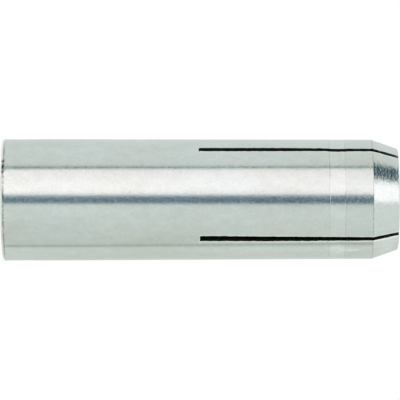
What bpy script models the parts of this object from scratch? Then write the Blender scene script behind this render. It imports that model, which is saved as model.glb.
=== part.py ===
"""Drop-in anchor with an M10 inner thread, for a 12 mm hole.

The sleeve is one piece of turned steel. It stands on its threaded mouth, at height 0,
and its expansion end points up. Two saw cuts across the axis part that end into four
leaves, which are then pinched together a little. A loose expander plug lies in the bore
above the thread. It slides up until its tapered nose bears on the sleeve's inner cone.

Lengths are in metres and angles in degrees. Every turned form has its axis on Z.
"""

import math

import bmesh
import bpy
from mathutils import Matrix, Vector

# Thread and sleeve
THREAD_NOMINAL = 0.0100
THREAD_PITCH = 0.0015
THREAD_DEPTH = 0.0150
THREAD_RUNOUT = 0.0010
WALL_OUTSIDE_THREAD = 0.0010
SLEEVE_LENGTH = 0.0393
MOUTH_EDGE_RADIUS = 0.0003
MOUTH_FULLNESS = 0.00005  # the mouth end's radius is larger by this
MOUTH_FULL_LENGTH = 0.0060
COUNTERSINK_MARGIN = 0.0002  # the countersink's radius beyond the thread's

# Expansion end
SLOT_LENGTH = 0.01975
SLOT_ROOT_WIDTH = 0.00060
SLOT_TIP_WIDTH = 0.00050  # before the leaves are pinched
SAW_CROSSING = 96.3
LEAF_PINCH = 0.00007  # how far each leaf's end leans in
TIP_CHAMFER_LENGTH = 0.0026
TIP_CHAMFER_ANGLE = 19.3
TIP_EDGE_BREAK = 0.00012
BAND_FROM_TIP = 0.0055
BAND_WIDTH = 0.0015
BAND_DEPTH = 0.00002
BAND_SHOULDER = 0.00012

# Expander plug and its seat
PLUG_LENGTH = 0.0100
PLUG_NOSE_LENGTH = 0.0030
PLUG_SIDE_CLEARANCE = 0.0001
PLUG_ABOVE_THREAD = 0.0004
PLUG_TRAVEL = 0.0024  # free slide before the nose bears on the cone
PLUG_EDGE_BREAK = 0.0003
CONE_HALF_ANGLE = 4.2
SEAT_CLEARANCE = 0.00002

# Fineness
ROUND_STEPS = 96
EDGE_ARC_STEPS = 4
WELD_DISTANCE = 0.000001
SMOOTH_BELOW = 12.0
CUTTER_OVERRUN = 0.002

# Sizes that follow from those above
BORE_RADIUS = (THREAD_NOMINAL - THREAD_PITCH) / 2
SLEEVE_RADIUS = THREAD_NOMINAL / 2 + WALL_OUTSIDE_THREAD
MOUTH_RADIUS = SLEEVE_RADIUS + MOUTH_FULLNESS
COUNTERSINK_RADIUS = THREAD_NOMINAL / 2 + COUNTERSINK_MARGIN
SLOT_ROOT = SLEEVE_LENGTH - SLOT_LENGTH
TIP_RADIUS = SLEEVE_RADIUS - TIP_CHAMFER_LENGTH * math.tan(math.radians(TIP_CHAMFER_ANGLE))
CONE_SLOPE = math.tan(math.radians(CONE_HALF_ANGLE))
PLUG_RADIUS = BORE_RADIUS - PLUG_SIDE_CLEARANCE
PLUG_REAR = THREAD_DEPTH + THREAD_RUNOUT + PLUG_ABOVE_THREAD


def lean_at(height):
    """How far a leaf leans in at a height, in metres."""
    return LEAF_PINCH * max(0.0, height - SLOT_ROOT) / SLOT_LENGTH


def cone_start():
    """Height where the bore begins to taper, so that the plug's nose seats after its travel."""
    nose_end = PLUG_REAR + PLUG_TRAVEL + PLUG_LENGTH
    shoulder = nose_end - PLUG_NOSE_LENGTH
    room = SEAT_CLEARANCE + lean_at(nose_end) - PLUG_SIDE_CLEARANCE
    return shoulder + room / CONE_SLOPE


def heading(azimuth):
    """Level unit vector at an azimuth counted from +X towards +Y."""
    angle = math.radians(azimuth)
    return Vector((math.cos(angle), math.sin(angle), 0.0))


def arc(centre, radius, start, end):
    """Points (radius, height) of a round edge, from one angle to another."""
    points = []
    for step in range(EDGE_ARC_STEPS + 1):
        angle = math.radians(start + (end - start) * step / EDGE_ARC_STEPS)
        points.append((centre[0] + radius * math.cos(angle), centre[1] + radius * math.sin(angle)))
    return points


def turned(name, outline, closed):
    """Spin an outline of (radius, height) points round Z into one solid."""
    bm = bmesh.new()
    verts = [bm.verts.new((radius, 0.0, height)) for radius, height in outline]
    followers = verts[1:] + verts[:1] if closed else verts[1:]
    edges = [bm.edges.new(pair) for pair in zip(verts, followers)]
    bmesh.ops.spin(
        bm, geom=verts + edges, cent=(0, 0, 0), axis=(0, 0, 1), angle=2 * math.pi, steps=ROUND_STEPS
    )
    bmesh.ops.remove_doubles(bm, verts=bm.verts[:], dist=WELD_DISTANCE)
    bmesh.ops.recalc_face_normals(bm, faces=bm.faces[:])
    mesh = bpy.data.meshes.new(name)
    bm.to_mesh(mesh)
    bm.free()
    obj = bpy.data.objects.new(name, mesh)
    bpy.context.scene.collection.objects.link(obj)
    return obj


def shade_round(mesh):
    """Smooth the turned faces and keep the real edges sharp."""
    mesh.shade_smooth()
    mesh.set_sharp_from_angle(angle=math.radians(SMOOTH_BELOW))


def metal(name, colour, roughness):
    """A plain metal finish."""
    material = bpy.data.materials.new(name)
    material.use_nodes = True
    shader = material.node_tree.nodes["Principled BSDF"]
    shader.inputs["Base Color"].default_value = (*colour, 1.0)
    shader.inputs["Metallic"].default_value = 1.0
    shader.inputs["Roughness"].default_value = roughness
    return material


def sleeve_outline():
    """The sleeve's half section: up its outer side from the mouth, then down its bore."""
    band_top = SLEEVE_LENGTH - BAND_FROM_TIP
    band_bottom = band_top - BAND_WIDTH
    band_radius = SLEEVE_RADIUS - BAND_DEPTH
    taper_start = cone_start()
    tip_bore = BORE_RADIUS - (SLEEVE_LENGTH - taper_start) * CONE_SLOPE
    mouth_edge = arc(
        (MOUTH_RADIUS - MOUTH_EDGE_RADIUS, MOUTH_EDGE_RADIUS), MOUTH_EDGE_RADIUS, -90, 0
    )
    outside = [
        (MOUTH_RADIUS, MOUTH_FULL_LENGTH),
        (SLEEVE_RADIUS, SLOT_ROOT),
        (SLEEVE_RADIUS, band_bottom),
        (band_radius, band_bottom + BAND_SHOULDER),
        (band_radius, band_top - BAND_SHOULDER),
        (SLEEVE_RADIUS, band_top),
        (SLEEVE_RADIUS, SLEEVE_LENGTH - TIP_CHAMFER_LENGTH),
        (TIP_RADIUS, SLEEVE_LENGTH),
    ]
    inside = [
        (tip_bore + TIP_EDGE_BREAK, SLEEVE_LENGTH),
        (tip_bore, SLEEVE_LENGTH - TIP_EDGE_BREAK),
        (BORE_RADIUS, taper_start),
        (BORE_RADIUS, COUNTERSINK_RADIUS - BORE_RADIUS),
        (COUNTERSINK_RADIUS, 0.0),
    ]
    return mouth_edge + outside + inside


def saw_cutter(name, azimuth):
    """The path of the saw right across the sleeve, wider at the slot roots than at the tip."""
    size = (2 * MOUTH_RADIUS + 2 * CUTTER_OVERRUN, SLOT_ROOT_WIDTH, SLOT_LENGTH + CUTTER_OVERRUN)
    narrowing = (SLOT_TIP_WIDTH / SLOT_ROOT_WIDTH - 1) * size[2] / SLOT_LENGTH
    bm = bmesh.new()
    bmesh.ops.create_cube(bm, size=1.0)
    bmesh.ops.scale(bm, vec=size, verts=bm.verts[:])
    far_end = [vert for vert in bm.verts if vert.co.z > 0]
    bmesh.ops.scale(bm, vec=(1.0, 1.0 + narrowing, 1.0), verts=far_end)
    bmesh.ops.translate(bm, vec=(0, 0, SLOT_ROOT + size[2] / 2), verts=bm.verts[:])
    turn = Matrix.Rotation(math.radians(azimuth), 3, "Z")
    bmesh.ops.rotate(bm, cent=(0, 0, 0), matrix=turn, verts=bm.verts[:])
    mesh = bpy.data.meshes.new(name)
    bm.to_mesh(mesh)
    bm.free()
    cutter = bpy.data.objects.new(name, mesh)
    cutter.hide_render = True
    cutter.display_type = "WIRE"
    bpy.context.scene.collection.objects.link(cutter)
    return cutter


def saw_leaves(sleeve, azimuths):
    """Cut the slots out of the sleeve and keep the result as its mesh."""
    cutters = [saw_cutter(f"saw_{n}", azimuth) for n, azimuth in enumerate(azimuths)]
    for cutter in cutters:
        cut = sleeve.modifiers.new(cutter.name, "BOOLEAN")
        cut.operation = "DIFFERENCE"
        cut.solver = "EXACT"
        cut.object = cutter
    depsgraph = bpy.context.evaluated_depsgraph_get()
    slotted = bpy.data.meshes.new_from_object(sleeve.evaluated_get(depsgraph))
    sleeve.modifiers.clear()
    sleeve.data = slotted
    sleeve.data.name = sleeve.name
    for cutter in cutters:
        bpy.data.objects.remove(cutter, do_unlink=True)


def leaf_middle(place, cut_a, cut_b):
    """Outward direction along the middle of the leaf that holds a place."""
    spread = cut_a.cross(cut_b).z
    along_a = place.cross(cut_b).z / spread
    along_b = cut_a.cross(place).z / spread
    middle = cut_a * math.copysign(1.0, along_a) + cut_b * math.copysign(1.0, along_b)
    return middle.normalized()


def pinch_leaves(mesh, azimuths):
    """Lean the four leaves in, from nothing at the slot roots to the full pinch at the tip."""
    cut_a, cut_b = (heading(azimuth) for azimuth in azimuths)
    for vert in mesh.vertices:
        lean = lean_at(vert.co.z)
        if lean > 0.0:
            vert.co -= leaf_middle(vert.co, cut_a, cut_b) * lean


def make_sleeve():
    """The one-piece sleeve: turned, sawn and pinched. One leaf has its middle at -Y."""
    azimuths = (270.0 - SAW_CROSSING / 2, 270.0 + SAW_CROSSING / 2)
    sleeve = turned("sleeve", sleeve_outline(), closed=True)
    saw_leaves(sleeve, azimuths)
    pinch_leaves(sleeve.data, azimuths)
    shade_round(sleeve.data)
    sleeve.data.materials.append(metal("bright_zinc", (0.72, 0.76, 0.74), 0.25))


def make_plug():
    """The expander plug, with its origin on the axis at its rear face."""
    nose_start = PLUG_LENGTH - PLUG_NOSE_LENGTH
    nose_radius = PLUG_RADIUS - (PLUG_NOSE_LENGTH - PLUG_EDGE_BREAK) * CONE_SLOPE
    outline = [
        (0.0, PLUG_LENGTH),
        (nose_radius - PLUG_EDGE_BREAK, PLUG_LENGTH),
        (nose_radius, PLUG_LENGTH - PLUG_EDGE_BREAK),
        (PLUG_RADIUS, nose_start),
        (PLUG_RADIUS, PLUG_EDGE_BREAK),
        (PLUG_RADIUS - PLUG_EDGE_BREAK, 0.0),
        (0.0, 0.0),
    ]
    plug = turned("expander_plug", outline, closed=False)
    plug.location = (0.0, 0.0, PLUG_REAR)
    shade_round(plug.data)
    plug.data.materials.append(metal("plain_steel", (0.55, 0.55, 0.53), 0.35))


def main():
    for obj in list(bpy.data.objects):
        bpy.data.objects.remove(obj, do_unlink=True)
    make_sleeve()
    make_plug()


main()
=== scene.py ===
import math

import bmesh
import bpy
from mathutils import Matrix, Vector, noise as solid_noise


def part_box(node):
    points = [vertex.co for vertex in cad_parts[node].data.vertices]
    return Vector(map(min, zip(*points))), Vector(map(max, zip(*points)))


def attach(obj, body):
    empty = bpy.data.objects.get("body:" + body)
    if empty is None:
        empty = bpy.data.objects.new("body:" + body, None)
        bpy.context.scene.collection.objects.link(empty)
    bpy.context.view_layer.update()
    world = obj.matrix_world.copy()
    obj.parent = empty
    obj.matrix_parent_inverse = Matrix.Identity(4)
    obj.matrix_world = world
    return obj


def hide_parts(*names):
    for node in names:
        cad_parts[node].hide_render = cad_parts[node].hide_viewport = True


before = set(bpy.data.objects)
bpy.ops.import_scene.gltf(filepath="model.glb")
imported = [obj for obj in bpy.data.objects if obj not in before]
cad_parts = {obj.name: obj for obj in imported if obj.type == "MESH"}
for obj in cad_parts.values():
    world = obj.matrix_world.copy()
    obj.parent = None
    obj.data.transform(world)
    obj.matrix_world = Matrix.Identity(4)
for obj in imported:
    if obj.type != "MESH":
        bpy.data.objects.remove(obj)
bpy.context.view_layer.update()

# The anchor stands on its mouth at height 0, with its slotted tip up. The picture is taken
# from the side with the camera turned, so that the tip points right in it.
# Lengths are in metres and angles in degrees. Azimuths count from +X towards +Y. Sizes and
# places of textures are in millimetres.

MM = 0.001

# Sleeve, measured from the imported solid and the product's thread
_, SLEEVE_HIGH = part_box("sleeve")
SLEEVE_LENGTH = SLEEVE_HIGH.z
MOUTH_RADIUS = SLEEVE_HIGH.x
MOUTH_FULLNESS = 0.05 * MM
SLEEVE_RADIUS = MOUTH_RADIUS - MOUTH_FULLNESS
MOUTH_FULL_LENGTH = 6.0 * MM
MOUTH_EDGE_RADIUS = 0.3 * MM
THREAD_MAJOR_RADIUS = 5.0 * MM
THREAD_PITCH = 1.5 * MM
THREAD_DEPTH = 15.0 * MM
THREAD_RUNOUT = 1.0 * MM
THREAD_END = THREAD_DEPTH + THREAD_RUNOUT
PLAIN_PAST_THREAD = 0.2 * MM
BORE_RADIUS = THREAD_MAJOR_RADIUS - THREAD_PITCH / 2
COUNTERSINK_RADIUS = THREAD_MAJOR_RADIUS + 0.2 * MM

# Expansion end
SLOT_LENGTH = 19.75 * MM
SLOT_ROOT = SLEEVE_LENGTH - SLOT_LENGTH
SAW_CROSSING = 96.3
# Widths of the two saw cuts at some heights, all in millimetres
SLOT_WIDTHS = (
    ((19.5, 0.60), (23.0, 0.62), (28.0, 0.64), (32.0, 0.57), (39.3, 0.55)),
    ((19.5, 0.70), (24.0, 0.70), (30.0, 0.65), (39.3, 0.54)),
)
# Degrees that the two slots next to the viewer drift round the axis, at heights in millimetres
SLOT_DRIFTS = (
    (
        (29.5, 0.0), (31.4, 0.2), (32.4, 0.6), (32.8, 1.1), (33.8, 1.1), (34.3, 0.7),
        (36.7, 0.75), (38.6, 0.1), (39.3, 0.0),
    ),
    ((19.55, 0.0), (19.9, -0.3), (21.4, -0.3), (23.7, 0.08), (26.0, 0.26), (36.7, 0.7), (39.3, 1.8)),
)
# How much higher each slot's root lies, as the saw left it, and how far above it and round
# from it the surface follows
ROOT_RISES = (-0.05 * MM, 0.055 * MM, 0.0, 0.0)
ROOT_RISE_LENGTH = 1.0 * MM
ROOT_RISE_TURN = 40.0
ROOT_RISE_GAIN = 1.4
ROOT_BURR_LENGTH = 0.15 * MM
LEAF_PINCH = 0.07 * MM
TIP_CHAMFER_LENGTH = 2.6 * MM
TIP_CHAMFER_ANGLE = 19.3
TIP_EDGE_RADIUS = 0.08 * MM
CHAMFER_START = SLEEVE_LENGTH - TIP_CHAMFER_LENGTH
BAND_TOP = SLEEVE_LENGTH - 5.375 * MM
BAND_BOTTOM = BAND_TOP - 1.5 * MM
BAND_DEPTH = 0.006 * MM
BAND_SHOULDER = 0.025 * MM
CONE_START = 25.16 * MM
CONE_HALF_ANGLE = 4.2
# Roundings at each leaf's two edges: the saw rounds the one it leaves by
OUTER_CORNERS = (
    (0.05 * MM, 0.02 * MM), (0.085 * MM, 0.02 * MM), (0.05 * MM, 0.02 * MM), (0.05 * MM, 0.02 * MM),
)
INNER_CORNER = 0.03 * MM
CORNER_GROWTH = 0.06 * MM  # length over which a slot's corners reach their full size
BURR_HEIGHTS = (0.022 * MM, 0.008 * MM)
BURR_SPREAD = (1.0, 0.45)  # of a burr's height, at the first points from the edge
# Unevenness along the slots' edges. Each kind of noise has its swings in a millimetre and its row.
SLOT_WAVER, WAVER_NOISE = 0.034 * MM, (1.7, 0.0)
SLOT_CHATTER, CHATTER_NOISE = 0.018 * MM, (4.3, 9.0)
CORNER_CHATTER, CORNER_NOISE = 1.1, (3.7, 12.0)  # of a rounding's own size
LEAST_CORNER = 0.3  # of a rounding's own size
BURR_MEAN, BURR_SWING, BURR_NOISE = 0.35, 1.3, (2.3, 4.0)  # of a burr's own height
# Bright wear and a painted highlight along each leaf's two edges
EDGE_WEAR_AND_HIGHLIGHTS = ((0.75, 0.7), (1.0, 0.3), (0.8, 0.5), (0.6, 0.0))
WEAR_AND_HIGHLIGHT_WIDTH = 0.13 * MM
WEAR_AND_HIGHLIGHT_GAIN = 1.8

# Plug
PLUG_LOW, PLUG_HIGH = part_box("expander_plug")

# Picture
CAMERA_SIDE_TURN = 7.65
CAMERA_DISTANCE = 0.37
CAMERA_AIM_HEIGHT = 19.62 * MM
CAMERA_SIDE_SHIFT = -0.075 * MM
CAMERA_ROLL = -0.098
PICTURE_WIDTH_AT_AXIS = 39.92 * MM
SENSOR_WIDTH_MM = 36.0

# Mesh fineness
LIP_TURNS = (0.0, 0.3, 0.6, 1.2)  # degrees from a slot's edge to the first points of an arc
ARC_POINTS = 43
SLOT_POINTS = 3
WALL_POINTS = 7
CORNER_STEPS = 5
SIDE_POINTS = 2 * (CORNER_STEPS - 1) + WALL_POINTS
EDGE_STEPS = 8
SHARP_ABOVE = 30.0
TOUCHING = 1e-7  # heights this near count as one


def clamped(value):
    """The value, kept between 0 and 1."""
    return min(1.0, max(0.0, value))


def level(azimuth):
    """Level unit vector at an azimuth."""
    angle = math.radians(azimuth)
    return Vector((math.cos(angle), math.sin(angle), 0.0))


TO_CAMERA = level(270.0 + CAMERA_SIDE_TURN)
PICTURE_UP = level(180.0 + CAMERA_SIDE_TURN)
SAWS = [270.0 - SAW_CROSSING / 2, 270.0 + SAW_CROSSING / 2]
SAWS = SAWS + [azimuth + 180.0 for azimuth in SAWS] + [SAWS[0] + 360.0]


# Meshes

def add_face(bm, corners):
    """A face through the corners, leaving out any that repeat."""
    distinct = []
    for corner in corners:
        if corner not in distinct:
            distinct.append(corner)
    if len(distinct) > 2 and not bm.faces.get(distinct):
        bm.faces.new(distinct)


def join_rows(bm, first, second, closed):
    """Faces between two rows of as many points."""
    count = len(first)
    for index in range(count if closed else count - 1):
        after = (index + 1) % count
        add_face(bm, [first[index], first[after], second[after], second[index]])


def finish_piece(name, bm, body, material, sharp_rings=(), masks=None):
    """Turn the mesh in work into a shown piece that moves with its body."""
    bmesh.ops.remove_doubles(bm, verts=bm.verts[:], dist=1e-8)
    bmesh.ops.recalc_face_normals(bm, faces=bm.faces[:])
    mesh = bpy.data.meshes.new(name)
    bm.to_mesh(mesh)
    bm.free()
    mesh.shade_smooth()
    mesh.set_sharp_from_angle(angle=math.radians(SHARP_ABOVE))
    points = mesh.vertices
    sharp = mesh.attributes.get("sharp_edge") or mesh.attributes.new("sharp_edge", "BOOLEAN", "EDGE")
    for edge in mesh.edges:
        ends = [points[index].co for index in edge.vertices]
        for height, least_radius in sharp_rings:
            if all(abs(p.z - height) < TOUCHING and p.xy.length > least_radius for p in ends):
                sharp.data[edge.index].value = True
    for label, worth in (masks or {}).items():
        values = [worth(point.co) for point in points]
        mesh.attributes.new(label, "FLOAT", "POINT").data.foreach_set("value", values)
    mesh.materials.append(material)
    piece = bpy.data.objects.new(name, mesh)
    bpy.context.scene.collection.objects.link(piece)
    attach(piece, body)
    return piece


def spun(outline, steps):
    """A turned solid in work from (radius, height) points that start and end on the axis."""
    bm = bmesh.new()
    rows = []
    for radius, height in outline:
        if radius == 0.0:
            rows.append([bm.verts.new((0.0, 0.0, height))] * steps)
            continue
        turns = (level(360.0 * step / steps) for step in range(steps))
        rows.append([bm.verts.new(turn * radius + Vector((0, 0, height))) for turn in turns])
    for first, second in zip(rows, rows[1:]):
        join_rows(bm, first, second, closed=True)
    return bm


def rounding(centre, radius, start, end, steps):
    """Points of a round edge, from one angle to another."""
    points = []
    for step in range(steps + 1):
        angle = math.radians(start + (end - start) * step / steps)
        points.append((centre[0] + radius * math.cos(angle), centre[1] + radius * math.sin(angle)))
    return points


# Sleeve

def outer_radius(height):
    """Radius of the sleeve's outside above the slot roots."""
    if height > CHAMFER_START:
        return SLEEVE_RADIUS - (height - CHAMFER_START) * math.tan(math.radians(TIP_CHAMFER_ANGLE))
    into_band = min(height - BAND_BOTTOM, BAND_TOP - height)
    return SLEEVE_RADIUS - BAND_DEPTH * clamped(into_band / BAND_SHOULDER)


def inner_radius(height):
    """Radius of the bore and of the cone that narrows it towards the tip."""
    return BORE_RADIUS - max(0.0, height - CONE_START) * math.tan(math.radians(CONE_HALF_ANGLE))


def edge_angle(offset, radius):
    """Angle at the axis of a point that lies the offset away from a saw cut's middle."""
    return math.degrees(math.asin(offset / radius))


def between_stops(stops, height):
    """Value at a height between (height, value) stops."""
    for (low, before), (high, after) in zip(stops, stops[1:]):
        if height <= high:
            return before + (after - before) * max(0.0, height - low) / (high - low)
    return stops[-1][1]


def saw_azimuth(number, height):
    """Azimuth of a slot's middle."""
    slot = number % 4
    if slot > 1 or height <= SLOT_ROOT:
        return SAWS[number]
    return SAWS[number] + between_stops(SLOT_DRIFTS[slot], height / MM)


def slot_width(number, height):
    """Width of a slot at a height."""
    return between_stops(SLOT_WIDTHS[number % 2], height / MM) * MM


def arc_azimuths(leaf, first_edge, last_edge, height=0.0):
    """Azimuths along a leaf's arc, from one slot's edge to the next one's."""
    start, end = saw_azimuth(leaf, height) + first_edge, saw_azimuth(leaf + 1, height) - last_edge
    first, last = start + LIP_TURNS[-1], end - LIP_TURNS[-1]
    spaces = ARC_POINTS + 1 - 2 * len(LIP_TURNS)
    between = [first + (last - first) * n / spaces for n in range(1, spaces)]
    return [start + turn for turn in LIP_TURNS] + between + [end - turn for turn in reversed(LIP_TURNS)]


def slot_edges(leaf, radius):
    """Angles from the middles of a leaf's two slots to their edges, at the slots' roots."""
    return [edge_angle(slot_width(number, SLOT_ROOT) / 2, radius) for number in (leaf, leaf + 1)]


def leaf_middle(leaf):
    """Level unit vector from the axis to the middle of a leaf."""
    return level((SAWS[leaf] + SAWS[leaf + 1]) / 2)


def slot_azimuths(leaf, edge):
    """Azimuths across the slot that follows a leaf, without the slot's edges."""
    start, end = SAWS[leaf + 1] - edge, SAWS[leaf + 1] + edge
    return [start + (end - start) * (n + 1) / (SLOT_POINTS + 1) for n in range(SLOT_POINTS)]


def slot_side(azimuth, side, outer, inner, half_width, corner_out, corner_in):
    """Points down one side of a slot, from the outer arc's end to the inner arc's end."""
    outward, across = level(azimuth), level(azimuth + 90.0) * side
    top = math.sqrt((outer - corner_out) ** 2 - (half_width + corner_out) ** 2)
    bottom = math.sqrt((inner + corner_in) ** 2 - (half_width + corner_in) ** 2)
    places = rounding((top, half_width + corner_out), corner_out, 0, -90, CORNER_STEPS)[1:-1]
    for step in range(WALL_POINTS):
        places.append((top + (bottom - top) * step / (WALL_POINTS - 1), half_width))
    places += rounding((bottom, half_width + corner_in), corner_in, -90, -180, CORNER_STEPS)[1:-1]
    return [outward * reach + across * offset for reach, offset in places]


def unevenness(kind, height, seed):
    """Smooth noise along a slot's edge, from about -1 to 1."""
    swings, row = kind
    return solid_noise.noise((height / MM * swings, seed, row))


def leaf_loop(bm, leaf, height, inset=0.0):
    """The outline of one leaf at a height, round its outer arc, a wall, its bore and a wall."""
    share = (height - SLOT_ROOT) / SLOT_LENGTH
    growth = min(1.0, (height - SLOT_ROOT) / CORNER_GROWTH)
    outer, inner = outer_radius(height) - inset, inner_radius(height) + inset
    seeds = leaf * 7.3, leaf * 7.3 + 31.0
    corners_out = []
    for corner, seed in zip(OUTER_CORNERS[leaf], seeds):
        chatter = CORNER_CHATTER * unevenness(CORNER_NOISE, height, seed)
        corners_out.append(corner * growth * max(LEAST_CORNER, 1.0 + chatter))
    corner_in = INNER_CORNER * growth
    first, last = (
        slot_width(number, height) / 2 + inset
        + SLOT_WAVER * growth * unevenness(WAVER_NOISE, height, seed)
        + SLOT_CHATTER * growth * unevenness(CHATTER_NOISE, height, seed)
        for number, seed in zip((leaf, leaf + 1), seeds)
    )
    burrs = [
        burr * growth * max(0.0, BURR_MEAN + BURR_SWING * unevenness(BURR_NOISE, height, seed))
        for burr, seed in zip(BURR_HEIGHTS, (leaf * 5.1, leaf * 5.1 + 17.0))
    ]
    outer_edges = [
        edge_angle(half + corner, outer) for half, corner in zip((first, last), corners_out)
    ]
    inner_edges = [edge_angle(half + corner_in, inner) for half in (first, last)]
    points = [level(azimuth) * outer for azimuth in arc_azimuths(leaf, *outer_edges, height)]
    for place, share_of_burr in enumerate(BURR_SPREAD):
        points[place] *= 1 + burrs[0] * share_of_burr / outer
        points[-1 - place] *= 1 + burrs[1] * share_of_burr / outer
    first_side = slot_side(
        saw_azimuth(leaf, height), 1.0, outer + burrs[0], inner, first, corners_out[0], corner_in
    )
    points += slot_side(
        saw_azimuth(leaf + 1, height), -1.0, outer + burrs[1], inner, last, corners_out[1], corner_in
    )
    points += [level(azimuth) * inner for azimuth in reversed(arc_azimuths(leaf, *inner_edges, height))]
    points += reversed(first_side)
    lean = leaf_middle(leaf) * LEAF_PINCH * share
    return [bm.verts.new(point - lean + Vector((0, 0, height))) for point in points]


def leaf_heights():
    """Heights of a leaf's outlines, close together where its form changes."""
    stops = [
        (SLOT_ROOT, 1), (SLOT_ROOT + CORNER_GROWTH, 3), (CONE_START, 40), (BAND_BOTTOM, 46),
        (BAND_BOTTOM + BAND_SHOULDER, 1), (BAND_TOP - BAND_SHOULDER, 6), (BAND_TOP, 1),
        (CHAMFER_START, 8), (SLEEVE_LENGTH - TIP_EDGE_RADIUS, 7),
    ]
    heights = [SLOT_ROOT]
    for (low, _), (high, steps) in zip(stops, stops[1:]):
        heights += [low + (high - low) * step / steps for step in range(1, steps + 1)]
    return heights


def close_leaf_end(bm, loop):
    """Flat end face of a leaf, from its last outline."""
    outer = loop[:ARC_POINTS]
    inner = loop[ARC_POINTS + SIDE_POINTS:2 * ARC_POINTS + SIDE_POINTS]
    join_rows(bm, outer, inner[::-1], closed=False)
    add_face(bm, [outer[-1]] + loop[ARC_POINTS:ARC_POINTS + SIDE_POINTS] + [inner[0]])
    add_face(bm, [inner[-1]] + loop[2 * ARC_POINTS + SIDE_POINTS:] + [outer[0]])


def build_leaf(bm, leaf):
    """One leaf of the expansion end. Returns its lowest outline."""
    loops = [leaf_loop(bm, leaf, height) for height in leaf_heights()]
    for step in range(1, EDGE_STEPS + 1):
        angle = math.pi / 2 * step / EDGE_STEPS
        height = SLEEVE_LENGTH - TIP_EDGE_RADIUS * (1 - math.sin(angle))
        loops.append(leaf_loop(bm, leaf, height, TIP_EDGE_RADIUS * (1 - math.cos(angle))))
    for first, second in zip(loops, loops[1:]):
        join_rows(bm, first, second, closed=True)
    close_leaf_end(bm, loops[-1])
    return loops[0]


def root_rings(bm, roots):
    """The full outer and inner rings at the slot roots, with the slots' floors between them."""
    outer_ring, inner_ring = [], []
    up = Vector((0, 0, SLOT_ROOT))
    for leaf, root in enumerate(roots):
        after = roots[(leaf + 1) % len(roots)]
        outer_edge, inner_edge = (slot_edges(leaf, r)[1] for r in (SLEEVE_RADIUS, BORE_RADIUS))
        outer_gap, inner_gap = (
            [bm.verts.new(level(azimuth) * radius + up) for azimuth in slot_azimuths(leaf, edge)]
            for radius, edge in ((SLEEVE_RADIUS, outer_edge), (BORE_RADIUS, inner_edge))
        )
        outer_ring += root[:ARC_POINTS] + outer_gap
        inner_ring += root[ARC_POINTS + SIDE_POINTS:2 * ARC_POINTS + SIDE_POINTS][::-1] + inner_gap
        near_wall = root[ARC_POINTS:ARC_POINTS + SIDE_POINTS]
        far_wall = after[2 * ARC_POINTS + SIDE_POINTS:]
        add_face(
            bm,
            [root[ARC_POINTS - 1]] + near_wall + [root[ARC_POINTS + SIDE_POINTS]] + inner_gap
            + [after[2 * ARC_POINTS + SIDE_POINTS - 1]] + far_wall + [after[0]] + outer_gap[::-1],
        )
    return outer_ring, inner_ring


def uneven_roots(bm):
    """Raise or lower each slot's root a little, with the surface close round it."""
    for vertex in bm.verts:
        above = vertex.co.z - SLOT_ROOT
        if not -TOUCHING < above < ROOT_RISE_LENGTH:
            continue
        azimuth = math.degrees(math.atan2(vertex.co.y, vertex.co.x))
        for number, rise in enumerate(ROOT_RISES):
            turn = abs((azimuth - SAWS[number] + 180.0) % 360.0 - 180.0)
            share = max(0.0, 1.0 - turn / ROOT_RISE_TURN) * (1.0 - above / ROOT_RISE_LENGTH)
            vertex.co.z += rise * min(1.0, ROOT_RISE_GAIN * share)


def ring_azimuths(radius):
    """Azimuths of a full ring's points, in line with the leaves and the slots above."""
    azimuths = []
    for leaf in range(4):
        edges = slot_edges(leaf, radius)
        azimuths += arc_azimuths(leaf, *edges) + slot_azimuths(leaf, edges[1])
    return azimuths


# Chips in the mouth's edge: azimuth, height, half length round the edge in degrees, and depth
EDGE_CHIPS = (
    (238.25, 0.20 * MM, 1.2, 0.12 * MM),
    (243.25, 0.19 * MM, 1.0, 0.07 * MM),
    (246.15, 0.19 * MM, 1.5, 0.10 * MM),
    (250.45, 0.16 * MM, 0.7, 0.05 * MM),
)
CHIP_HEIGHT = 0.10 * MM
MOUTH_ZONE = 1.0 * MM


def chip_depth(azimuth, height):
    """How deep the mouth's edge is chipped at a place."""
    if height > MOUTH_ZONE:
        return 0.0
    depth = 0.0
    for middle, chip_height, half_length, chip in EDGE_CHIPS:
        turn = (middle - azimuth + 180.0) % 360.0 - 180.0
        away = (turn / half_length) ** 2 + ((height - chip_height) / CHIP_HEIGHT) ** 2
        depth += chip * math.exp(-away)
    return depth


def build_outside(bm, top_ring):
    """The plain outside from the slot roots down to the mouth's rounded edge."""
    azimuths = ring_azimuths(SLEEVE_RADIUS)
    heights = [SLOT_ROOT - ROOT_BURR_LENGTH]
    heights += [SLOT_ROOT - (SLOT_ROOT - MOUTH_FULL_LENGTH) * n / 8 for n in range(1, 9)]
    profile = [
        (SLEEVE_RADIUS + MOUTH_FULLNESS * (SLOT_ROOT - h) / (SLOT_ROOT - MOUTH_FULL_LENGTH), h)
        for h in heights
    ]
    profile += [(MOUTH_RADIUS, h * MM) for h in (4.0, 2.0, 1.0, 0.7, 0.5, 0.4)]
    profile += rounding(
        (MOUTH_RADIUS - MOUTH_EDGE_RADIUS, MOUTH_EDGE_RADIUS), MOUTH_EDGE_RADIUS, 0, -90, EDGE_STEPS
    )
    above = top_ring
    for radius, height in profile:
        ring = []
        for azimuth in azimuths:
            reach = radius - chip_depth(azimuth, height)
            ring.append(bm.verts.new(level(azimuth) * reach + Vector((0, 0, height))))
        join_rows(bm, above, ring, closed=True)
        above = ring
    return above


# The thread's groove within one pitch, with its middle at 0.5: half its width at the bore,
# half its width at the major diameter, and the rows of points across it. The rows start a
# little below the mouth, in pitches.
GROOVE_HALF_OPEN = 0.352
GROOVE_HALF_ROOT = 0.0625
THREAD_ROWS = (0.0, 0.148, 0.17, 0.30, 0.4175, 0.4375, 0.5625, 0.5825, 0.70, 0.83, 0.852)
THREAD_LEAD_IN = 1.05


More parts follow.
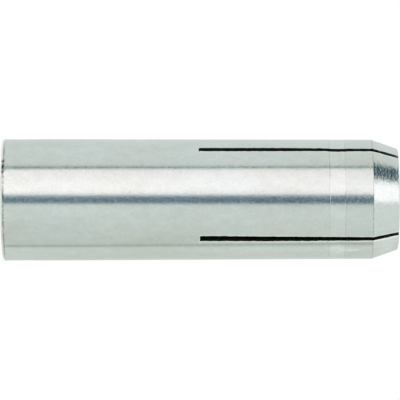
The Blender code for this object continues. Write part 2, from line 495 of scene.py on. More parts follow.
def groove_depth(phase, height):
    """Depth of the thread below the bore's wall, fading out at its inner end."""
    away = abs(phase - 0.5)
    share = (GROOVE_HALF_OPEN - away) / (GROOVE_HALF_OPEN - GROOVE_HALF_ROOT)
    fade = clamped((THREAD_END - height) / THREAD_RUNOUT)
    return (THREAD_MAJOR_RADIUS - BORE_RADIUS) * clamped(share) * fade


def build_thread(bm, azimuths, top_ring):
    """The threaded and countersunk bore, as rows that follow the helix. Returns its mouth ring."""
    top = top_ring[0].co.z
    mouth_ring = [bm.verts.new(level(a) * COUNTERSINK_RADIUS) for a in azimuths]
    per_turn = len(THREAD_ROWS)
    rows = (math.ceil(top / THREAD_PITCH) + 3) * per_turn
    columns = []
    for index, azimuth in enumerate(azimuths):
        column = []
        rise = (azimuth - azimuths[0]) / 360.0
        for row in range(rows):
            phase = THREAD_ROWS[row % per_turn]
            height = THREAD_PITCH * (row // per_turn + phase + rise - THREAD_LEAD_IN)
            if height <= 0.0:
                column.append(mouth_ring[index])
            elif height >= top:
                column.append(top_ring[index])
            else:
                radius = max(COUNTERSINK_RADIUS - height, BORE_RADIUS + groove_depth(phase, height))
                column.append(bm.verts.new(level(azimuth) * radius + Vector((0, 0, height))))
        columns.append(column)
    columns.append([columns[0][min(row + per_turn, rows - 1)] for row in range(rows)])
    for first, second in zip(columns, columns[1:]):
        join_rows(bm, first, second, closed=False)
    return mouth_ring


# Where the masks that the mesh carries begin and how softly they change
INSIDE_FROM, INSIDE_SOFTNESS = 0.035 * MM, 0.04 * MM  # below the outside
MOUTH_MARGIN = 0.1 * MM
BORE_MARGIN, BORE_SOFTNESS = 0.02 * MM, 0.06 * MM  # away from the bore's wall
THREAD_MARGIN = 0.21 * MM
WEAR_AND_HIGHLIGHT_FROM, WEAR_AND_HIGHLIGHT_SOFTNESS = 0.03 * MM, 0.03 * MM  # below the outside
CHIP_FULL_DEPTH = 0.05 * MM


def place_on_leaf(point):
    """Number of a point's leaf, its depth below the outside, and distances to the leaf's slots."""
    share = (point.z - SLOT_ROOT) / SLOT_LENGTH
    place = Vector((point.x, point.y, 0.0))
    turn = math.degrees(math.atan2(point.y, point.x)) % 360.0
    leaf = sum(1 for saw in SAWS[1:4] if (turn - SAWS[0]) % 360.0 > saw - SAWS[0])
    place += leaf_middle(leaf) * LEAF_PINCH * share
    offsets = [
        abs(place.dot(level(saw_azimuth(number, point.z) + 90.0))) - slot_width(number, point.z) / 2
        for number in (leaf, leaf + 1)
    ]
    return leaf, outer_radius(point.z) - place.length, offsets


def inside_mask(point):
    """1 on the slots' walls and in the bore, 0 on the outside and on both end faces."""
    if point.z < TOUCHING or point.z > SLEEVE_LENGTH - TOUCHING:
        return 0.0
    if point.z > SLOT_ROOT:
        below = place_on_leaf(point)[1]
    else:
        below = SLEEVE_RADIUS - point.xy.length
    if point.z < MOUTH_ZONE:
        below -= MOUTH_EDGE_RADIUS + MOUTH_MARGIN
    return clamped((below - INSIDE_FROM) / INSIDE_SOFTNESS)


def bore_mask(point):
    """1 in the bore and its thread, 0 elsewhere."""
    if point.z < TOUCHING:
        return 0.0
    lean = LEAF_PINCH * max(0.0, point.z - SLOT_ROOT) / SLOT_LENGTH
    threaded = point.z < THREAD_END
    reach = THREAD_MAJOR_RADIUS + THREAD_MARGIN if threaded else inner_radius(point.z)
    return clamped(1.0 - (point.xy.length - reach - BORE_MARGIN + lean / 2) / BORE_SOFTNESS)


def wear_and_highlight_mask(point):
    """1 where the plate is worn bright and a highlight is painted, along the slots' outer edges."""
    if point.z < SLOT_ROOT + TOUCHING:
        return 0.0
    leaf, below, distances = place_on_leaf(point)
    edge_wear_and_highlight = max(
        leaf_wear_and_highlight * clamped(WEAR_AND_HIGHLIGHT_GAIN * (1.0 - (distance - corner) / WEAR_AND_HIGHLIGHT_WIDTH))
        for leaf_wear_and_highlight, distance, corner in zip(EDGE_WEAR_AND_HIGHLIGHTS[leaf], distances, OUTER_CORNERS[leaf])
    )
    return edge_wear_and_highlight * clamped(1.0 - (below - WEAR_AND_HIGHLIGHT_FROM) / WEAR_AND_HIGHLIGHT_SOFTNESS)


def chip_mask(point):
    """How far a chip darkens a place on the mouth's edge."""
    if point.xy.length < COUNTERSINK_RADIUS + MOUTH_MARGIN:
        return 0.0
    azimuth = math.degrees(math.atan2(point.y, point.x))
    return min(1.0, chip_depth(azimuth, point.z) / CHIP_FULL_DEPTH)


def make_sleeve(material):
    """The whole sleeve: leaves, plain outside, bore, thread and mouth face."""
    bm = bmesh.new()
    roots = [build_leaf(bm, leaf) for leaf in range(4)]
    outer_ring, inner_ring = root_rings(bm, roots)
    outer_mouth = build_outside(bm, outer_ring)
    azimuths = ring_azimuths(BORE_RADIUS)
    up = Vector((0, 0, THREAD_END + PLAIN_PAST_THREAD))
    thread_ring = [bm.verts.new(level(azimuth) * BORE_RADIUS + up) for azimuth in azimuths]
    join_rows(bm, inner_ring, thread_ring, closed=True)
    inner_mouth = build_thread(bm, azimuths, thread_ring)
    join_rows(bm, outer_mouth, inner_mouth, closed=True)
    uneven_roots(bm)
    borders = [CHAMFER_START, BAND_BOTTOM, BAND_TOP]
    borders += [BAND_BOTTOM + BAND_SHOULDER, BAND_TOP - BAND_SHOULDER]
    rings = [(height, BORE_RADIUS + 0.5 * MM) for height in borders]
    # The worn-edge mask carries wear and a painted highlight along the slots' edges.
    masks = {"inside": inside_mask, "bore": bore_mask, "worn and highlit edge": wear_and_highlight_mask, "chip": chip_mask}
    sleeve = finish_piece("anchor_sleeve", bm, "sleeve", material, rings, masks)
    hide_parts("sleeve")


# Plug

PLUG_NOSE_LENGTH = 3.0 * MM
PLUG_EDGE = 0.3 * MM
PLUG_PIP_RADIUS = 0.5 * MM
PLUG_PIP_DEPTH = 0.06 * MM


def make_plug(material):
    """The expander plug: a turned pin with a tapered nose and a small centre mark in its rear."""
    rear, front, radius = PLUG_LOW.z, PLUG_HIGH.z, PLUG_HIGH.x
    slope = math.tan(math.radians(CONE_HALF_ANGLE))
    nose_radius = radius - (PLUG_NOSE_LENGTH - PLUG_EDGE) * slope
    outline = [(0.0, front)]
    outline += [((nose_radius - PLUG_EDGE) * n / 4, front) for n in range(1, 4)]
    outline += rounding((nose_radius - PLUG_EDGE, front - PLUG_EDGE), PLUG_EDGE, 90, 0, EDGE_STEPS)
    outline += [(radius, front - PLUG_NOSE_LENGTH)]
    outline += rounding((radius - PLUG_EDGE, rear + PLUG_EDGE), PLUG_EDGE, 0, -90, EDGE_STEPS)
    outline += [(PLUG_PIP_RADIUS * 2, rear), (PLUG_PIP_RADIUS, rear)]
    outline += [(PLUG_PIP_RADIUS / 2, rear + PLUG_PIP_DEPTH * 0.75), (0.0, rear + PLUG_PIP_DEPTH)]
    plug = finish_piece("anchor_plug", spun(outline, 144), "plug", material)
    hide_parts("expander_plug")


# Node helpers

def feed(tree, source, target):
    """Join a socket to an input, or write a plain value in it."""
    if isinstance(source, bpy.types.NodeSocket):
        tree.links.new(source, target)
    else:
        target.default_value = source


def add_node(tree, kind, **settings):
    """A new node with its settings."""
    made = tree.nodes.new(kind)
    for key, value in settings.items():
        setattr(made, key, value)
    return made


def maths(tree, operation, *values):
    """The result of one operation on numbers."""
    made = add_node(tree, "ShaderNodeMath", operation=operation)
    for value, target in zip(values, made.inputs):
        feed(tree, value, target)
    return made.outputs[0]


def vector_maths(tree, operation, *vectors):
    """The outputs of one operation on vectors."""
    made = add_node(tree, "ShaderNodeVectorMath", operation=operation)
    for vector, target in zip(vectors, made.inputs):
        feed(tree, vector, target)
    return made.outputs


def along(tree, vector, direction):
    """How far a vector reaches in a direction."""
    return vector_maths(tree, "DOT_PRODUCT", vector, direction)["Value"]


def product(tree, *shares):
    """The product of several shares."""
    result = shares[0]
    for share in shares[1:]:
        result = maths(tree, "MULTIPLY", result, share)
    return result


def ramp(tree, value, low, high, start=0.0, end=1.0):
    """A smooth change from start at low to end at high."""
    made = add_node(tree, "ShaderNodeMapRange", interpolation_type="SMOOTHSTEP")
    labels = ("Value", "From Min", "From Max", "To Min", "To Max")
    for label, source in zip(labels, (value, low, high, start, end)):
        feed(tree, source, made.inputs[label])
    return made.outputs["Result"]


def window(tree, value, low, high, soft):
    """1 between low and high and 0 outside them, with soft edges."""
    rise = ramp(tree, value, low - soft, low + soft)
    fall = ramp(tree, value, high - soft, high + soft, 1.0, 0.0)
    return product(tree, rise, fall)


def mix_colour(tree, share, first, second, blend="MIX"):
    """The first colour, with a share of the second laid over it."""
    made = add_node(tree, "ShaderNodeMix", data_type="RGBA", blend_type=blend)
    feed(tree, share, made.inputs["Factor"])
    feed(tree, first, made.inputs["A"])
    feed(tree, second, made.inputs["B"])
    return made.outputs["Result"]


def brighten(tree, shade, factor):
    """A colour times a factor."""
    made = add_node(tree, "ShaderNodeVectorMath", operation="SCALE")
    feed(tree, shade, made.inputs[0])
    feed(tree, factor, made.inputs["Scale"])
    return made.outputs["Vector"]


def colour(red, green, blue):
    """A solid colour."""
    return (red, green, blue, 1.0)


# Studio

# What the metal mirrors, by direction in degrees. The azimuth goes from the camera's side
# towards the picture's top, and other directions follow the slanting edges of what is there.
LEVEL_ZONE = 3.0  # elevations up to this are near the level
LOW_SLANT, HIGH_SLANT = 0.34, 0.55  # degrees lower for each degree of elevation
TOP_RISE = 0.36  # degrees higher for each degree, near the level
SEAM_RISE = 1.0
GAP_TOP_SHIFTS = ((1.3, 2.4, 0.0, -1.2), (-3.2, -1.9, 1.6, 0.0))
PANEL_START, PANEL_MIDDLE, PANEL_SLANT = 44.2, 36.0, -0.169

# A fade is a direction, two places on it and the values there. With three numbers it is a
# window: its two ends and how soft they are. Each part of the studio is a product of fades.
NEAR_LEVEL = ("elevation", -60.0, 14.0, 4.0)
WALL_STOPS = (
    (-180.0, 0.69, 0.73, 0.71), (-150.0, 0.685, 0.715, 0.68),
    (-104.0, 0.742, 0.764, 0.736), (-90.0, 0.665, 0.69, 0.66),
    (-50.0, 0.71, 0.73, 0.71), (-12.0, 0.80, 0.82, 0.80),
    (70.0, 0.75, 0.765, 0.745), (100.0, 0.770, 0.790, 0.780),
    (150.0, 0.755, 0.780, 0.768), (180.0, 0.69, 0.73, 0.71),
)
WALL_RISE = ("elevation", 12.0, 32.0, 1.0, 1.085)
WALL_SWINGS = (
    (("azimuth", -84.0, -26.0, 12.0), ("elevation", -1.8, 0.9, -0.03, 0.09)),
    (("azimuth", -120.0, -104.0, 4.0), ("elevation", -0.5, 1.5, 0.0, 0.07)),
    (("azimuth", 84.0, 130.0, 8.0), ("elevation", 12.0, 32.0, 0.0, -0.07)),
    (("azimuth", -66.0, -10.0, 8.0), ("elevation", 12.0, 32.0, 0.0, -0.07)),
    (
        ("elevation", 1.5, 2.5, 0.0, 1.0), ("elevation", 5.0, 8.0, 1.0, 0.0),
        ("azimuth", -10.0, 60.0, -0.11, -0.02), ("azimuth", -112.0, -92.0, 0.1, 1.0),
    ),
)
WARM_STRIP = (("azimuth", -150.0, -78.0, 8.0), ("elevation", -1.5, 0.5, 0.6))
WARM_TINT = colour(1.003, 0.998, 0.965)
SEAM_ABOVE = (("box_top", 61.1, 62.3, 0.0, 0.90), ("azimuth", 65.7, 66.9, 1.0, 0.0), NEAR_LEVEL)
SEAM_BELOW = (("seam", -101.1, -96.1, 0.8), ("elevation", -1.0, 2.5, 0.56, 0.42), NEAR_LEVEL)
SEAM_DARK = colour(0.02, 0.13, 0.125)
SOFTBOX = (
    ("slanted", 6.9, 9.9, 0.0, 1.0), ("box_top", 59.5, 62.5, 1.0, 0.0), ("elevation", -60.0, 64.0, 5.0),
)
BOX_LIGHT_LOW, BOX_LIGHT_HIGH = (1.255, 1.17, 1.19), colour(1.42, 1.345, 1.385)
BOX_LOW_FALL = ("azimuth", 8.0, 24.0, 0.93, 1.0)
BOX_HIGH_SHARE = ("elevation", 8.0, 34.0, 0.0, 1.0)
BOX_FALLS = (
    ("azimuth", 20.0, 60.0, 1.005, 0.90), ("elevation", -6.0, 6.0, 1.035, 0.945),
    ("elevation", -3.2, -1.4, 1.055, 1.0),
)
GAP = (("slanted", -10.4, -5.2, 0.0, 1.0), ("gap_top", 4.0, 12.0, 1.0, 0.0), NEAR_LEVEL)
GAP_DARK, GAP_PALE = colour(0.080, 0.148, 0.198), colour(0.130, 0.218, 0.280)
GAP_PALE_SHARE = ("slanted", -3.0, 5.0, 0.0, 1.0)
GAP_MOUTH_RISE = ("elevation", -3.2, -1.9, 1.32, 1.0)
PANEL = (
    ("azimuth", 38.2, 52.2, 0.0, 1.0), ("azimuth", 73.0, 90.0, 1.0, 0.0),
    ("off_panel", 6.5, 12.5, 1.0, 0.0),
)
PANEL_DARK = colour(0.020, 0.072, 0.108)
BACKDROP = (("sideways", 172.0, 174.0, 0.0, 1.0), ("elevation", -12.0, 12.0, 2.0))
WHITE = colour(1.0, 1.0, 1.0)


def seen_directions(tree):
    """The directions that the fades name, for what a ray meets."""
    place = add_node(tree, "ShaderNodeTexCoord").outputs["Generated"]
    axes = (PICTURE_UP, TO_CAMERA, Vector((0, 0, 1)))
    upward, nearer, higher = (along(tree, place, axis) for axis in axes)
    azimuth = maths(tree, "DEGREES", maths(tree, "ARCTAN2", upward, nearer))
    elevation = maths(tree, "DEGREES", maths(tree, "ARCSINE", higher))
    near = maths(tree, "MINIMUM", maths(tree, "MAXIMUM", elevation, -LEVEL_ZONE), LEVEL_ZONE)
    past_zone = maths(tree, "MAXIMUM", maths(tree, "SUBTRACT", elevation, LEVEL_ZONE), 0.0)
    box_top = maths(tree, "MULTIPLY_ADD", near, -TOP_RISE, azimuth)
    slanted = maths(tree, "MULTIPLY_ADD", elevation, LOW_SLANT, azimuth)
    gap_top = slanted
    for shift in GAP_TOP_SHIFTS:
        gap_top = maths(tree, "ADD", gap_top, ramp(tree, elevation, *shift))
    past_start = maths(tree, "SUBTRACT", azimuth, PANEL_START)
    middle = maths(tree, "MULTIPLY_ADD", past_start, PANEL_SLANT, PANEL_MIDDLE)
    return {
        "azimuth": azimuth,
        "elevation": elevation,
        "sideways": maths(tree, "ABSOLUTE", azimuth),
        "slanted": slanted,
        "box_top": maths(tree, "MULTIPLY_ADD", past_zone, HIGH_SLANT, box_top),
        "gap_top": gap_top,
        "seam": maths(tree, "MULTIPLY_ADD", maths(tree, "MAXIMUM", near, 0.0), -SEAM_RISE, azimuth),
        "off_panel": maths(tree, "ABSOLUTE", maths(tree, "SUBTRACT", elevation, middle)),
    }


def faded(tree, seen, *fades):
    """The product of fades."""
    shares = []
    for direction, *places in fades:
        fade = window if len(places) == 3 else ramp
        shares.append(fade(tree, seen[direction], *places))
    return product(tree, *shares)


def wall_light(tree, seen):
    """Colour of the pale walls round the object."""
    made = add_node(tree, "ShaderNodeValToRGB")
    stops = made.color_ramp.elements
    stops[0].position, stops[1].position = 0.0, 1.0
    stops[0].color, stops[1].color = colour(*WALL_STOPS[0][1:]), colour(*WALL_STOPS[-1][1:])
    for place, *shade in WALL_STOPS[1:-1]:
        stops.new((place + 180.0) / 360.0).color = colour(*shade)
    share = maths(tree, "DIVIDE", maths(tree, "ADD", seen["azimuth"], 180.0), 360.0)
    feed(tree, share, made.inputs["Fac"])
    swing = 1.0
    for fades in WALL_SWINGS:
        swing = maths(tree, "ADD", faded(tree, seen, *fades), swing)
    light = brighten(tree, made.outputs["Color"], faded(tree, seen, WALL_RISE))
    light = brighten(tree, light, swing)
    return mix_colour(tree, faded(tree, seen, *WARM_STRIP), light, WARM_TINT, "MULTIPLY")


def box_light(tree, seen):
    """Light of the soft box, which makes the white band along the body."""
    low_light = brighten(tree, BOX_LIGHT_LOW, faded(tree, seen, BOX_LOW_FALL))
    light = mix_colour(tree, faded(tree, seen, BOX_HIGH_SHARE), low_light, BOX_LIGHT_HIGH)
    return brighten(tree, light, faded(tree, seen, *BOX_FALLS))


def gap_light(tree, seen):
    """Light of the dark gap under the soft box, which makes the dark band along the body."""
    light = mix_colour(tree, faded(tree, seen, GAP_PALE_SHARE), GAP_DARK, GAP_PALE)
    return brighten(tree, light, faded(tree, seen, GAP_MOUTH_RISE))


def white_share(tree, seen):
    """1 straight to the camera and through the floor, and for the metal on the backdrop."""
    rays = add_node(tree, "ShaderNodeLightPath").outputs
    straight = maths(tree, "ADD", rays["Is Camera Ray"], rays["Is Transmission Ray"])
    mirrored = product(tree, rays["Is Glossy Ray"], faded(tree, seen, *BACKDROP))
    return maths(tree, "ADD", straight, mirrored)


def make_studio():
    """White to the camera; to the metal, pale walls with one soft box, a dark gap and seams."""
    world = bpy.data.worlds.new("studio")
    bpy.context.scene.world = world
    world.use_nodes = True
    tree = world.node_tree
    tree.nodes.clear()
    seen = seen_directions(tree)
    shade = wall_light(tree, seen)
    for fades, light in (
        (SEAM_ABOVE, SEAM_DARK), (SEAM_BELOW, SEAM_DARK), (SOFTBOX, box_light(tree, seen)),
        (GAP, gap_light(tree, seen)), (PANEL, PANEL_DARK),
    ):
        shade = mix_colour(tree, faded(tree, seen, *fades), shade, light)
    shade = mix_colour(tree, white_share(tree, seen), shade, WHITE)
    background = add_node(tree, "ShaderNodeBackground")
    feed(tree, shade, background.inputs["Color"])
    output = add_node(tree, "ShaderNodeOutputWorld")
    feed(tree, background.outputs["Background"], output.inputs["Surface"])


FLOOR_RADIUS = 70.0 * MM
FLOOR_DROP = 0.01 * MM
FLOOR_GLOW = 0.36  # to the camera alone, so that the floor looks as white as what is round it


def make_floor():
    """A small white floor that keeps the anchor's shadow. From below it is clear."""
    bm = bmesh.new()
    bmesh.ops.create_circle(bm, cap_ends=True, radius=FLOOR_RADIUS, segments=96)
    mesh = bpy.data.meshes.new("studio_floor")
    bm.to_mesh(mesh)
    bm.free()
    material = bpy.data.materials.new("floor_white")
    material.use_nodes = True
    tree = material.node_tree
    shader = tree.nodes["Principled BSDF"]
    shader.inputs["Base Color"].default_value = colour(0.9, 0.9, 0.9)
    shader.inputs["Roughness"].default_value = 0.9
    shader.inputs["Emission Color"].default_value = WHITE
    to_camera = add_node(tree, "ShaderNodeLightPath").outputs["Is Camera Ray"]
    feed(tree, product(tree, to_camera, FLOOR_GLOW), shader.inputs["Emission Strength"])
    below = add_node(tree, "ShaderNodeNewGeometry").outputs["Backfacing"]
    feed(tree, maths(tree, "SUBTRACT", 1.0, below), shader.inputs["Alpha"])
    mesh.materials.append(material)
    floor = bpy.data.objects.new("studio_floor", mesh)
    floor.location.z = -FLOOR_DROP
    floor.visible_glossy = False
    bpy.context.scene.collection.objects.link(floor)


# Finishes

def millimetres(tree, stretch=(1.0, 1.0, 1.0)):
    """Coordinates on the object, in millimetres, drawn out by the stretch along each axis."""
    place = add_node(tree, "ShaderNodeTexCoord").outputs["Object"]
    return vector_maths(tree, "MULTIPLY", place, [1.0 / MM / length for length in stretch])["Vector"]


def noise(tree, vector, size, detail=2.0, roughness=0.5):
    """Noise between 0 and 1 with features of a size in millimetres."""
    made = add_node(tree, "ShaderNodeTexNoise")
    feed(tree, vector, made.inputs["Vector"])
    feed(tree, maths(tree, "DIVIDE", 1.0, size), made.inputs["Scale"])
    made.inputs["Detail"].default_value = detail
    made.inputs["Roughness"].default_value = roughness
    return made.outputs["Fac"]


FLOAT, COLOUR = "NodeSocketFloat", "NodeSocketColor"


def new_group(name, inputs, outputs):
    """An empty shader group with its named inputs and outputs."""
    tree = bpy.data.node_groups.new(name, "ShaderNodeTree")
    for label, kind, value in inputs:
        socket = tree.interface.new_socket(name=label, in_out="INPUT", socket_type=kind)
        socket.default_value = value
    for label, kind in outputs:
        tree.interface.new_socket(name=label, in_out="OUTPUT", socket_type=kind)
    return tree, add_node(tree, "NodeGroupInput").outputs, add_node(tree, "NodeGroupOutput").inputs


def use_group(tree, group, **values):
    """Place a group in a material with its own values. Underscores stand for spaces."""
    made = add_node(tree, "ShaderNodeGroup", node_tree=group)
    for label, value in values.items():
        feed(tree, value, made.inputs[label.replace("_", " ")])
    return made.outputs


def plating_mottle_group():
    """Cloudy patches between two tints, drawn out along the axis, with a fine speckle."""
    grey = colour(0.7, 0.7, 0.7)
    tree, given, result = new_group(
        "plating mottle",
        [
            ("Cool", COLOUR, grey), ("Warm", COLOUR, grey), ("Patch size", FLOAT, 2.0),
            ("Clouds", FLOAT, 0.03), ("Speckle", FLOAT, 0.05),
        ],
        [("Color", COLOUR), ("Patches", FLOAT)],
    )
    drawn = millimetres(tree, (1.0, 1.0, 2.2))
    close = millimetres(tree, (1.0, 1.0, 1.5))
    patches = noise(tree, drawn, given["Patch size"], 5.0, 0.6)
    specks = maths(tree, "SUBTRACT", noise(tree, close, 0.22, 2.0, 0.6), 0.5)
    broad = maths(tree, "SUBTRACT", noise(tree, drawn, 5.0, 1.0), 0.5)
    share = maths(tree, "MULTIPLY_ADD", specks, 0.75, maths(tree, "MULTIPLY_ADD", broad, -0.7, patches))
    tint = mix_colour(tree, ramp(tree, share, 0.30, 0.70), given["Cool"], given["Warm"])
    clouds = maths(tree, "SUBTRACT", noise(tree, close, 0.9, 4.0, 0.62), 0.5)
    speckle = maths(tree, "SUBTRACT", noise(tree, close, 0.15, 1.0), 0.5)
    swing = product(tree, maths(tree, "ADD", clouds, broad), given["Clouds"])
    swing = maths(tree, "ADD", swing, product(tree, speckle, given["Speckle"]))
    feed(tree, brighten(tree, tint, maths(tree, "ADD", 1.0, swing)), result["Color"])
    feed(tree, patches, result["Patches"])
    return tree


def turning_marks_group():
    """Fine grooves round the axis that come and go, in micrometres of height."""
    tree, given, result = new_group(
        "turning marks", [("Feed", FLOAT, 0.15), ("Depth", FLOAT, 1.0)], [("Height", FLOAT)]
    )
    long_marks = noise(tree, millimetres(tree, (20.0, 20.0, 1.0)), given["Feed"], 2.0, 0.6)
    short_marks = noise(tree, millimetres(tree, (2.4, 2.4, 1.0)), given["Feed"], 2.0, 0.55)
    marks = maths(tree, "MULTIPLY_ADD", long_marks, 0.5, short_marks)
    feed(tree, product(tree, marks, given["Depth"]), result["Height"])
    return tree


def plating_grain_group():
    """The fine orange-peel of the plated surface, in micrometres of height."""
    tree, given, result = new_group(
        "plating grain", [("Grain size", FLOAT, 0.2), ("Depth", FLOAT, 0.5)], [("Height", FLOAT)]
    )
    grain = noise(tree, millimetres(tree, (1.0, 1.0, 1.3)), given["Grain size"], 3.0, 0.6)
    feed(tree, product(tree, grain, given["Depth"]), result["Height"])
    return tree


def ring_line_group():
    """A thin broken line round the axis at a height in millimetres, 1 on the line."""
    tree, given, result = new_group(
        "ring line",
        [
            ("Height", FLOAT, 0.0), ("Place", FLOAT, 0.0),
            ("Half width", FLOAT, 0.05), ("Waver", FLOAT, 0.02),
        ],
        [("Line", FLOAT)],
    )
    place = millimetres(tree)
    waver = maths(tree, "SUBTRACT", noise(tree, place, 0.5, 2.0, 0.6), 0.5)
    offset = maths(tree, "SUBTRACT", given["Height"], given["Place"])
    swing = product(tree, waver, given["Waver"], 4.0)
    away = maths(tree, "ABSOLUTE", maths(tree, "ADD", offset, swing))
    line = ramp(tree, maths(tree, "DIVIDE", away, given["Half width"]), 0.5, 1.3, 1.0, 0.0)
    broken = ramp(tree, noise(tree, place, 0.22, 3.0, 0.65), 0.36, 0.62, 0.15, 1.0)
    feed(tree, product(tree, line, broken), result["Line"])
    return tree


MICROMETRE = 1e-6


def new_finish(name):
    """A metal material, with its nodes and its shader."""
    material = bpy.data.materials.new(name)
    material.use_nodes = True
    tree = material.node_tree
    shader = tree.nodes["Principled BSDF"]
    shader.inputs["Metallic"].default_value = 1.0
    return material, tree, shader


def height_to_normal(tree, height, shader):
    """Turn a height in micrometres into the shader's normal."""
    bump = add_node(tree, "ShaderNodeBump")
    bump.inputs["Distance"].default_value = MICROMETRE
    feed(tree, height, bump.inputs["Height"])
    feed(tree, bump.outputs["Normal"], shader.inputs["Normal"])


def height_on_axis(tree):
    """Height along the sleeve's axis, in millimetres."""
    split = add_node(tree, "ShaderNodeSeparateXYZ")
    feed(tree, millimetres(tree), split.inputs[0])
    return split.outputs["Z"]


def mask(tree, name):
    """A mask that the mesh carries."""
    return add_node(tree, "ShaderNodeAttribute", attribute_name=name).outputs["Fac"]


# Scuffed places on the outside: centre and half lengths in millimetres, and strength
SCUFFS = (
    ((5.42, -2.64, 33.25), (1.25, 1.25, 1.05), 0.85),
    ((5.46, -2.57, 34.5), (0.34, 0.34, 1.1), 1.0),
    ((5.04, -1.64, 38.0), (1.5, 1.5, 1.4), 1.0),
)
SCUFF_REACH = 1.2  # half lengths from the centre to where a scuff has faded out


def scuffs(tree):
    """Where the plate is rubbed pale, in streaks along the axis."""
    place = millimetres(tree)
    total = 0.0
    for centre, half_lengths, strength in SCUFFS:
        away = vector_maths(tree, "SUBTRACT", place, centre)["Vector"]
        scaled = vector_maths(tree, "DIVIDE", away, half_lengths)["Vector"]
        reach = vector_maths(tree, "LENGTH", scaled)["Value"]
        total = maths(tree, "MAXIMUM", ramp(tree, reach, 0.0, SCUFF_REACH, strength, 0.0), total)
    streaks = noise(tree, millimetres(tree, (1.0, 1.0, 4.0)), 0.22, 2.0, 0.6)
    return product(tree, total, ramp(tree, streaks, 0.38, 0.62, 0.35, 1.0))


COOL_ZINC, WARM_ZINC = colour(0.709, 0.775, 0.759), colour(0.730, 0.782, 0.737)
# Worn edges, painted lighter: partly wear, partly a painted highlight along the slots' lit edges
WORN_AND_HIGHLIT_ZINC, WORN_AND_HIGHLIT_STRENGTH = colour(0.93, 1.0, 0.91), 0.9
SCUFFED_ZINC = colour(0.90, 0.94, 0.94)
LINE_DARK = colour(0.16, 0.17, 0.13)
CHIP_DARK = colour(0.03, 0.028, 0.022)
# Painted shade: the slots' walls and floors are painted dark, as the narrow cuts look
SLOT_PAINTED_SHADE = colour(0.10, 0.11, 0.115)
BORE_SHARE = 0.52  # brightness of the bore, of the outside's
# Tones of the band and past it, and the gain of a painted highlight on the mouth's rim
BAND_TONE, AFTER_BAND_TONE, RIM_HIGHLIGHT_TONE = 0.035, -0.022, 0.26
RIM_HIGHLIGHT_FADE = (0.10, 0.20, 1.0, 0.0)  # heights of the painted highlight on the rounded rim at the mouth's edge
BORDER_SOFTNESS = 0.03
# Thin lines round the outside: height, half width and waver in millimetres, and strength
RING_LINES = (
    (BAND_BOTTOM / MM - 0.04, 0.05, 0.008, 0.18),
    (BAND_TOP / MM + 0.02, 0.05, 0.008, 0.14),
    (CHAMFER_START / MM, 0.07, 0.012, 0.36),
)
# The line at the mouth's rounded rim is painted shade: height, half width and waver in millimetres
RIM_SHADE_LINE = (0.25, 0.09, 0.03)
RIM_SHADE_SIDE = level(277.65)  # the camera's side, where the painted shade line at the mouth's edge is strongest
RIM_SHADE_RISE = (1.5, 4.0, 0.12, 0.70)  # its strength, by millimetres towards that side


def past(tree, height, border):
    """0 below a height and 1 above it."""
    return ramp(tree, height, border / MM - BORDER_SOFTNESS, border / MM + BORDER_SOFTNESS)


def zinc_colour(tree, plated, ring, height, band):
    """Colour of the plate with its ring lines, worn edges with a painted highlight, a painted highlight
    on the mouth's rim, a painted shade line at the mouth, scuffs and chips, and of its inside with
    painted shade in the slots.
    """
    tone = maths(tree, "MULTIPLY_ADD", band, BAND_TONE, 1.0)
    tone = maths(tree, "MULTIPLY_ADD", past(tree, height, BAND_TOP), AFTER_BAND_TONE, tone)
    shade = brighten(tree, plated, tone)
    # Painted highlight: the rounded rim at the mouth's edge is brightened
    rim_highlight = ramp(tree, height, *RIM_HIGHLIGHT_FADE)
    shade = brighten(tree, shade, maths(tree, "MULTIPLY_ADD", rim_highlight, RIM_HIGHLIGHT_TONE, 1.0))
    # Wear and a painted highlight along the slots' outer edges
    worn_and_highlit = product(tree, mask(tree, "worn and highlit edge"), WORN_AND_HIGHLIT_STRENGTH)
    shade = mix_colour(tree, worn_and_highlit, shade, WORN_AND_HIGHLIT_ZINC)
    shade = mix_colour(tree, scuffs(tree), shade, SCUFFED_ZINC)
    # The line at the mouth's rim is painted shade, darkest on the camera's side
    rim_shade_strength = ramp(tree, along(tree, millimetres(tree), RIM_SHADE_SIDE), *RIM_SHADE_RISE)
    for place, half_width, waver, strength in RING_LINES + ((*RIM_SHADE_LINE, rim_shade_strength),):
        line = use_group(tree, ring, Height=height, Place=place, Half_width=half_width, Waver=waver)
        shade = mix_colour(tree, product(tree, line["Line"], strength), shade, LINE_DARK)
    shade = mix_colour(tree, mask(tree, "chip"), shade, CHIP_DARK)
    # Painted shade inside the slots
    shade = mix_colour(tree, mask(tree, "inside"), shade, SLOT_PAINTED_SHADE)
    return mix_colour(tree, mask(tree, "bore"), shade, brighten(tree, plated, BORE_SHARE))


# Roughness of the plate: its least, what frosty specks add, the swing between satin patches,
# and what the band, the inside and the chips add
LEAST_ROUGHNESS, FROST_ROUGHNESS = 0.135, 0.113
SATIN_ROUGHNESS = (0.36, 0.64, -0.014, 0.018)
BAND_ROUGHNESS, INSIDE_ROUGHNESS, CHIP_ROUGHNESS = -0.015, 0.3, 0.4


def zinc_roughness(tree, band):
    """Roughness of the plate, with frosty specks in satin patches."""
    place = millimetres(tree, (1.0, 1.0, 1.3))
    frost = ramp(tree, noise(tree, place, 0.11, 2.0, 0.6), 0.40, 0.72)
    rough = maths(tree, "MULTIPLY_ADD", frost, FROST_ROUGHNESS, LEAST_ROUGHNESS)
    satin = ramp(tree, noise(tree, place, 0.20, 2.0, 0.6), *SATIN_ROUGHNESS)
    rough = maths(tree, "ADD", rough, satin)
    rough = maths(tree, "MULTIPLY_ADD", band, BAND_ROUGHNESS, rough)
    rough = maths(tree, "MULTIPLY_ADD", mask(tree, "inside"), INSIDE_ROUGHNESS, rough)
    return maths(tree, "MULTIPLY_ADD", mask(tree, "chip"), CHIP_ROUGHNESS, rough)


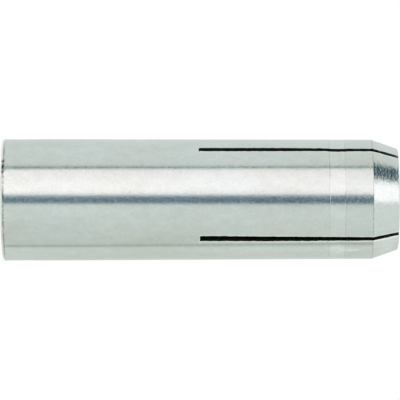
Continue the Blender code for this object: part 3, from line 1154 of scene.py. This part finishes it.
def bright_zinc(mottle, marks, grain, ring):
    """Bright zinc plate: pale grey-green, cloudy, with turning marks on the tip's chamfer."""
    material, tree, shader = new_finish("bright_zinc_plate")
    plated = use_group(
        tree, mottle,
        Cool=COOL_ZINC, Warm=WARM_ZINC, Patch_size=1.8, Clouds=0.18, Speckle=0.115,
    )["Color"]
    height = height_on_axis(tree)
    band = window(tree, height, BAND_BOTTOM / MM, BAND_TOP / MM, 0.04)
    feed(tree, zinc_colour(tree, plated, ring, height, band), shader.inputs["Base Color"])
    feed(tree, zinc_roughness(tree, band), shader.inputs["Roughness"])
    marks_depth = maths(tree, "MULTIPLY_ADD", past(tree, height, CHAMFER_START), 22.0, 0.3)
    turned = use_group(tree, marks, Feed=0.24, Depth=marks_depth)
    peel = use_group(tree, grain, Grain_size=0.20, Depth=3.3)
    height_to_normal(tree, maths(tree, "ADD", turned["Height"], peel["Height"]), shader)
    return material


def plain_steel(mottle, marks, grain):
    """Turned and lightly oiled steel."""
    material, tree, shader = new_finish("turned_steel")
    steel = use_group(
        tree, mottle,
        Cool=colour(0.48, 0.49, 0.50), Warm=colour(0.56, 0.54, 0.50),
        Patch_size=1.2, Clouds=0.2, Speckle=0.12,
    )
    feed(tree, steel["Color"], shader.inputs["Base Color"])
    feed(tree, maths(tree, "MULTIPLY_ADD", steel["Patches"], 0.10, 0.28), shader.inputs["Roughness"])
    turned = use_group(tree, marks, Feed=0.12, Depth=5.0)
    peel = use_group(tree, grain, Grain_size=0.15, Depth=2.0)
    height_to_normal(tree, maths(tree, "ADD", turned["Height"], peel["Height"]), shader)
    return material


# Camera

def make_camera():
    """A long lens square to the sleeve, with the sleeve's tip to the right of the picture."""
    data = bpy.data.cameras.new("picture_camera")
    data.sensor_width = SENSOR_WIDTH_MM
    data.lens = SENSOR_WIDTH_MM * CAMERA_DISTANCE / PICTURE_WIDTH_AT_AXIS
    data.clip_start = 0.01
    data.clip_end = 10.0
    camera = bpy.data.objects.new("picture_camera", data)
    right, up, back = Vector((0, 0, 1)), PICTURE_UP, TO_CAMERA
    roll = Matrix.Rotation(math.radians(CAMERA_ROLL), 3, "Z")
    turn = Matrix((right, up, back)).transposed() @ roll
    place = right * CAMERA_AIM_HEIGHT + up * CAMERA_SIDE_SHIFT + back * CAMERA_DISTANCE
    camera.matrix_world = Matrix.Translation(place) @ turn.to_4x4()
    bpy.context.scene.collection.objects.link(camera)
    bpy.context.scene.camera = camera


bpy.context.scene.view_settings.view_transform = "Standard"
make_camera()
make_studio()
make_floor()
shared_effects = plating_mottle_group(), turning_marks_group(), plating_grain_group()
make_sleeve(bright_zinc(*shared_effects, ring_line_group()))
make_plug(plain_steel(*shared_effects))
